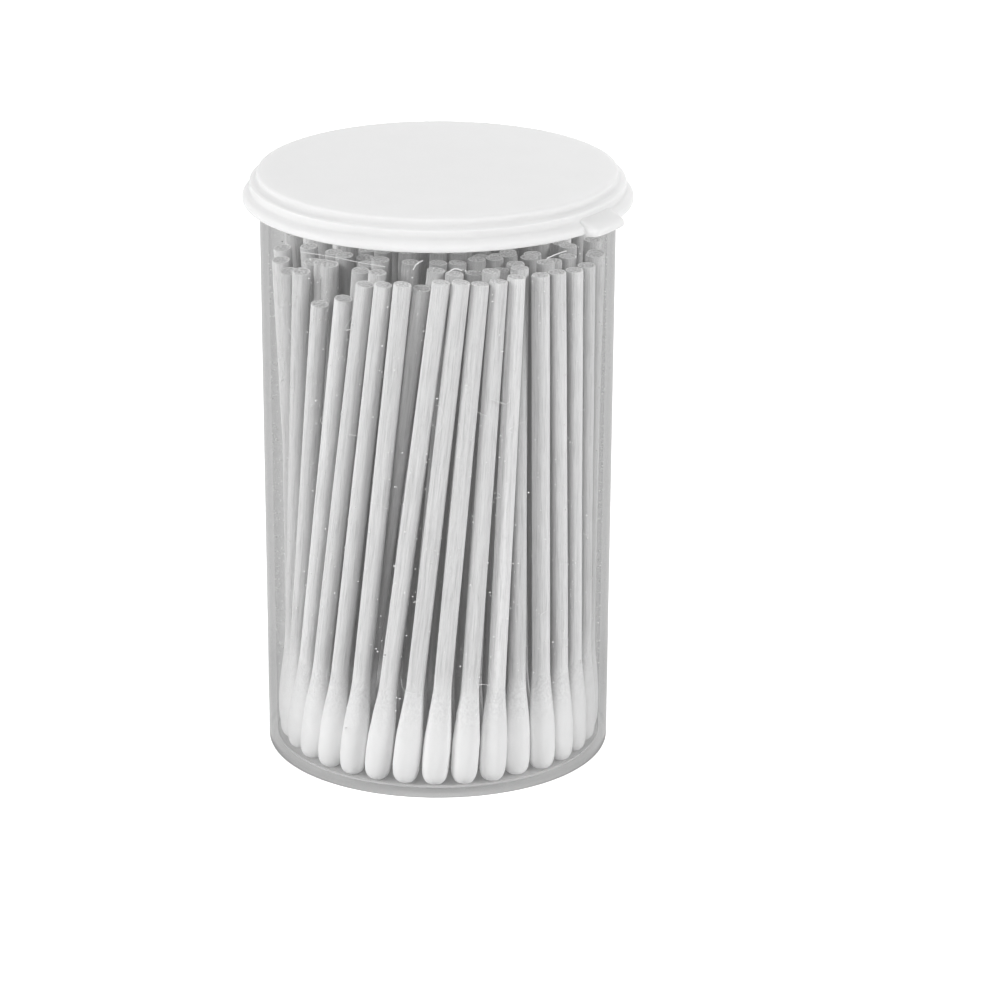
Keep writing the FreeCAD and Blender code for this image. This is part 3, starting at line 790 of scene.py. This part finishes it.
def lint_finish(name, light, dark):
    """Dry dust, uneven in tone from grain to grain."""
    made, tree, shader = finish(name, Roughness=0.9, Specular_IOR_Level=0.1)
    place = node(tree, "ShaderNodeTexCoord").outputs["Object"]
    uneven = {"Vector": place, "Scale": PATCHES, "Detail": 2.0}
    patches = node(tree, "ShaderNodeTexNoise", uneven).outputs["Fac"]
    tone = blend_of(tree, spread(tree, patches, *PATCH_RANGE), light, dark)
    tree.links.new(tone, shader.inputs["Base Color"])
    return made


chance = random.Random(29)
lint = piece("cotton_lint", *lint_mesh(chance), lint_finish("lint", LINT_WHITE, LINT_GREY))
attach(lint, "tub")
dust = piece("wood_dust", *dust_mesh(chance), lint_finish("wood dust", DUST_DARK, DUST_GREY))
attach(dust, "tub")

# The lid: one white moulding that snaps over the rim's bead. It has a raised disc, a band, a flared
# flange, a plug ring inside the mouth, and a thumb tab at the right front.
lid_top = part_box("lid")[1].z
rim_clearance = 0.0002
band_wall = 0.0008
band_top = rim + 0.00085
band_round = 0.00025
ledge_width = 0.00105
ledge_rise = 0.0003
skirt_foot = rim - 0.0021
skirt_inner = bead_radius + rim_clearance
skirt_lead = 0.0005
flange_reach = 0.0011
flange_flare = 0.00165
flange_crown = 0.0010
flange_slant = 0.0001
flange_foot = 0.00025
plug_depth = 0.0014
plug_wall = 0.0010
plug_lead = 0.0003
ceiling = rim + 0.0014
tab_reach = 0.0016
tab_thickness = 0.00105
tab_drop = 0.00015
tab_rise = 0.0021
tab_width = 0.0086
tab_turn = 55.5
tab_corner = 0.0013
# how much lower the tab's outer face is at its corners, as a share, and the small edges on the tab
tab_fall = 0.3
tab_edge = 0.0001
tab_seam = 0.0002
# how far the moulding's outer and inner corners are rounded to each side
lid_softness = 0.0010
inner_softness = 0.0002
# where the lid's top is divided, so that its triangles are not too long
lid_ring = 0.012
LID_WHITE = grey(0.745)
LID_SHADE = grey(0.73)
LID_SPECK = grey(0.6)
HEIGHT_RANGE = (0.3, 0.7)
speck_share = 0.12
# the part of a lamp's light that the thin moulding stops
lid_shadow = 0.5
band = skirt_inner + band_wall
flange = band + flange_reach
disc = band - ledge_width
plug_outer = mouth - wall - rim_clearance
LID_STEPS = 200
# extra steps across the tab, so that its flanks and corners are crisp
TAB_STEPS = 44
lid_crease = 50.0
# clear steps beside the tab, in degrees
tab_margin = 0.25


def softened(points, size, steps=4):
    """The outline with the corners between its ends rounded by small curves of about that size."""
    soft = [points[0]]
    for before, corner, after in zip(points, points[1:], points[2:]):
        here = Vector(corner)
        back = Vector(before) - here
        ahead = Vector(after) - here
        start = here + back.normalized() * min(size, back.length * 0.45)
        end = here + ahead.normalized() * min(size, ahead.length * 0.45)
        for i in range(steps + 1):
            share = i / steps
            place = start.lerp(here, share).lerp(here.lerp(end, share), share)
            soft.append((place.x, place.y))
    return soft + [points[-1]]


def lid_angles():
    """Where the lid's outline is repeated: evenly, and close together across the tab."""
    half = math.degrees(math.asin(tab_width / 2 / (flange + tab_reach)))
    angles = [360.0 * i / LID_STEPS for i in range(LID_STEPS)]
    angles = [a for a in angles if abs(a - tab_turn) > half + 2 * tab_margin]
    for i in range(TAB_STEPS + 1):
        swing = math.sin(math.pi * (i / TAB_STEPS - 0.5))
        angles.append(tab_turn + half * swing)
    angles += [tab_turn - half - tab_margin, tab_turn + half + tab_margin]
    return sorted(angles), half


def lid_edge_outline():
    """The outside of the skirt, from its foot inside to the band."""
    return [
        (skirt_inner, skirt_foot + skirt_lead),
        (skirt_inner + skirt_lead, skirt_foot),
        (flange - flange_foot, skirt_foot),
        (flange, skirt_foot + flange_foot),
        (flange - flange_slant, skirt_foot + flange_crown),
        (band, skirt_foot + flange_flare),
        (band, skirt_foot + tab_rise),
    ]


def tab_outline(reach, past):
    """The same stretch through the tab, whose outer face stands at that radius. Past its rounded corners
    the top falls away to the flare."""
    foot = skirt_foot - tab_drop
    top = tab_rise - past * (tab_rise - flange_flare)
    return [
        (skirt_inner, skirt_foot + skirt_lead),
        (skirt_inner + skirt_lead, foot),
        (reach - tab_edge, foot),
        (reach, foot + tab_edge),
        (reach, foot + tab_thickness * (1 - tab_fall * past)),
        (band + tab_seam, skirt_foot + top - tab_edge),
        (band, skirt_foot + top),
    ]


def lid_outline(angle, half):
    """The lid's whole outline at that angle, from the axis under the ceiling round to the axis on top."""
    away = abs(angle - tab_turn)
    edge = lid_edge_outline()
    if away <= half:
        across = (flange + tab_reach) * math.sin(math.radians(away))
        past = max(0.0, across - (tab_width / 2 - tab_corner))
        drop = tab_corner - math.sqrt(max(tab_corner ** 2 - past ** 2, 0.0))
        edge = tab_outline(flange + tab_reach - drop, drop / tab_corner)
    outline = [(0, ceiling), (plug_outer - plug_wall, ceiling)]
    outline += [(plug_outer - plug_wall, rim - plug_depth), (plug_outer - plug_lead, rim - plug_depth)]
    outline += [(plug_outer, rim - plug_depth + plug_lead), (plug_outer, rim), (skirt_inner, rim)]
    outline = softened(outline + edge[:1], inner_softness)[:-1]
    outline += softened(edge, lid_softness)
    outline += even(outline[-1], (band, band_top - band_round), 2)
    outline += softened([(band, band_top - band_round), (band, band_top), (disc, band_top + ledge_rise),
                         (disc, lid_top), (lid_ring, lid_top), (0, lid_top)], lid_softness, 6)
    return outline


def lid_mesh():
    """Points and faces of the lid. Its outline changes where the tab is."""
    angles, half = lid_angles()
    outlines = [lid_outline(angle, half) for angle in angles]
    points = [Vector((0, 0, ceiling)), Vector((0, 0, lid_top))]
    rows = len(outlines[0]) - 2
    for angle, outline in zip(angles, outlines):
        points += [polar(radius, angle, height) for radius, height in outline[1:-1]]
    faces = []
    for i in range(len(angles)):
        left = 2 + ((i - 1) % len(angles)) * rows
        right = 2 + i * rows
        faces.append((0, right, left))
        for row in range(rows - 1):
            faces.append((left + row, right + row, right + row + 1, left + row + 1))
        faces.append((left + rows - 1, right + rows - 1, 1))
    return points, faces


def white_plastic():
    """White soft plastic with a satin surface: faintly mottled, with a few darker specks."""
    made, tree, shader = finish("white plastic", Roughness=0.55, Specular_IOR_Level=0.12,
                                Subsurface_Weight=0.8, Subsurface_Radius=(1.0, 1.0, 1.0),
                                Subsurface_Scale=0.0020)
    marks = node(tree, "ShaderNodeGroup", {"Waves": 160.0, "Grains": 2600.0}, node_tree=skin)
    tone = blend_of(tree, spread(tree, marks.outputs["Height"], *HEIGHT_RANGE), LID_WHITE, LID_SHADE)
    specks = sum_up(tree, "MULTIPLY", marks.outputs["Specks"], speck_share)
    tone = blend_of(tree, specks, tone, LID_SPECK)
    tree.links.new(tone, shader.inputs["Base Color"])
    relief = {"Height": marks.outputs["Height"], "Strength": 0.08, "Distance": 0.0002}
    bump = node(tree, "ShaderNodeBump", relief).outputs["Normal"]
    tree.links.new(bump, shader.inputs["Normal"])
    # the thin moulding lets some light through on to the sticks' tops
    shaded = node(tree, "ShaderNodeLightPath").outputs["Is Shadow Ray"]
    tree.links.new(spread(tree, shaded, 0.0, 1.0, 1.0, lid_shadow), shader.inputs["Alpha"])
    return made


lid = piece("white_lid", *lid_mesh(), white_plastic(), lid_crease)
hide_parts("lid")
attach(lid, "lid")

# The studio: a white floor that keeps the tub's soft shadow, a white surround, five soft lamps, and the
# camera a little above the tub, in front of it.
floor_size = 0.7
floor_drop = 0.0001
FLOOR_WHITE = grey(0.85)
FLOOR_CLOUD = grey(0.87)
# how much the floor glows where it is seen, and how bright floor and surround are through the clear wall
floor_glow = 0.55
floor_behind = 0.51
surround_behind = 0.65
# how bright the surround is as a light
surround_light = 0.20


def floor_finish():
    """White floor, which glows a little where it is looked at, so that only the tub's shadow shows."""
    made, tree, shader = finish("floor", Roughness=0.9, Specular_IOR_Level=0.0)
    place = node(tree, "ShaderNodeTexCoord").outputs["Object"]
    cloud = node(tree, "ShaderNodeTexNoise", {"Vector": place, "Scale": 3.0, "Detail": 2.0}).outputs["Fac"]
    tone = blend_of(tree, cloud, FLOOR_WHITE, FLOOR_CLOUD)
    rays = node(tree, "ShaderNodeLightPath")
    direct = sum_up(tree, "MAXIMUM", rays.outputs["Is Camera Ray"], rays.outputs["Is Glossy Ray"])
    behind = spread(tree, rays.outputs["Transparent Depth"], 0.0, 1.0, 1.0, floor_behind)
    tone = node(tree, "ShaderNodeVectorMath", {0: tone, 1: behind}, operation="MULTIPLY").outputs[0]
    glow = sum_up(tree, "MULTIPLY", sum_up(tree, "MULTIPLY", direct, floor_glow), behind)
    tree.links.new(tone, shader.inputs["Base Color"])
    shader.inputs["Emission Color"].default_value = WHITE
    tree.links.new(glow, shader.inputs["Emission Strength"])
    return made


floor_corners = [
    (-floor_size, -floor_size, 0),
    (floor_size, -floor_size, 0),
    (floor_size, floor_size, 0),
    (-floor_size, floor_size, 0),
]
ground = piece("floor", floor_corners, [(0, 1, 2, 3)], floor_finish())
ground.location.z = -floor_drop

world = bpy.data.worlds.new("surround")
bpy.context.scene.world = world
world.use_nodes = True
sky = world.node_tree
rays = node(sky, "ShaderNodeLightPath")
seen = sum_up(sky, "MAXIMUM", rays.outputs["Is Camera Ray"], rays.outputs["Is Glossy Ray"])
seen = sum_up(sky, "MAXIMUM", seen, rays.outputs["Is Transmission Ray"])
behind = spread(sky, rays.outputs["Transparent Depth"], 0.0, 1.0, 1.0, surround_behind)
strength = node(sky, "ShaderNodeMix", {0: seen, 2: surround_light, 3: behind}, data_type="FLOAT").outputs[0]
sky.nodes["Background"].inputs["Color"].default_value = WHITE
sky.links.new(strength, sky.nodes["Background"].inputs["Strength"])


def soft_lamp(name, place, aim, size, power):
    """A square soft lamp that looks at a point."""
    light = bpy.data.lights.new(name, "AREA")
    light.size = size
    light.energy = power
    made = bpy.data.objects.new(name, light)
    bpy.context.scene.collection.objects.link(made)
    made.location = place
    made.rotation_euler = (Vector(aim) - Vector(place)).to_track_quat("-Z", "Y").to_euler()


middle = (0, 0, 0.045)
soft_lamp("front lamp", (-0.35, -1.15, 0.60), middle, 0.5, 4.4)
soft_lamp("left lamp", (-1.05, -0.50, 0.50), middle, 0.4, 9.0)
soft_lamp("right lamp", (1.05, -0.45, 0.45), middle, 0.4, 8.4)
soft_lamp("back lamp", (0.2, 1.2, 0.6), middle, 0.8, 6.5)
soft_lamp("top lamp", (0.1, 0.1, 1.3), middle, 0.9, 2.2)

# the camera's angle, distance, lens, sensor and nearest depth, and where the tub's middle is in the
# picture, as shares of its width right of the centre and above it
CAMERA_TILT = 18.92
CAMERA_AWAY = 0.7215
CAMERA_LENS = 178.2
SENSOR_WIDTH = 36.0
NEAREST = 0.05
TUB_RIGHT = -0.0621
TUB_ABOVE = 0.0525
tilt = math.radians(CAMERA_TILT)
camera = bpy.data.objects.new("camera", bpy.data.cameras.new("camera"))
bpy.context.scene.collection.objects.link(camera)
camera.data.lens = CAMERA_LENS
camera.data.sensor_width = SENSOR_WIDTH
camera.data.clip_start = NEAREST
camera.data.shift_x = -TUB_RIGHT
camera.data.shift_y = -TUB_ABOVE
camera.location = Vector(middle) + CAMERA_AWAY * Vector((0, -math.cos(tilt), math.sin(tilt)))
camera.rotation_euler = (Vector(middle) - camera.location).to_track_quat("-Z", "Y").to_euler()
bpy.context.scene.camera = camera
bpy.context.scene.view_settings.view_transform = "Standard"
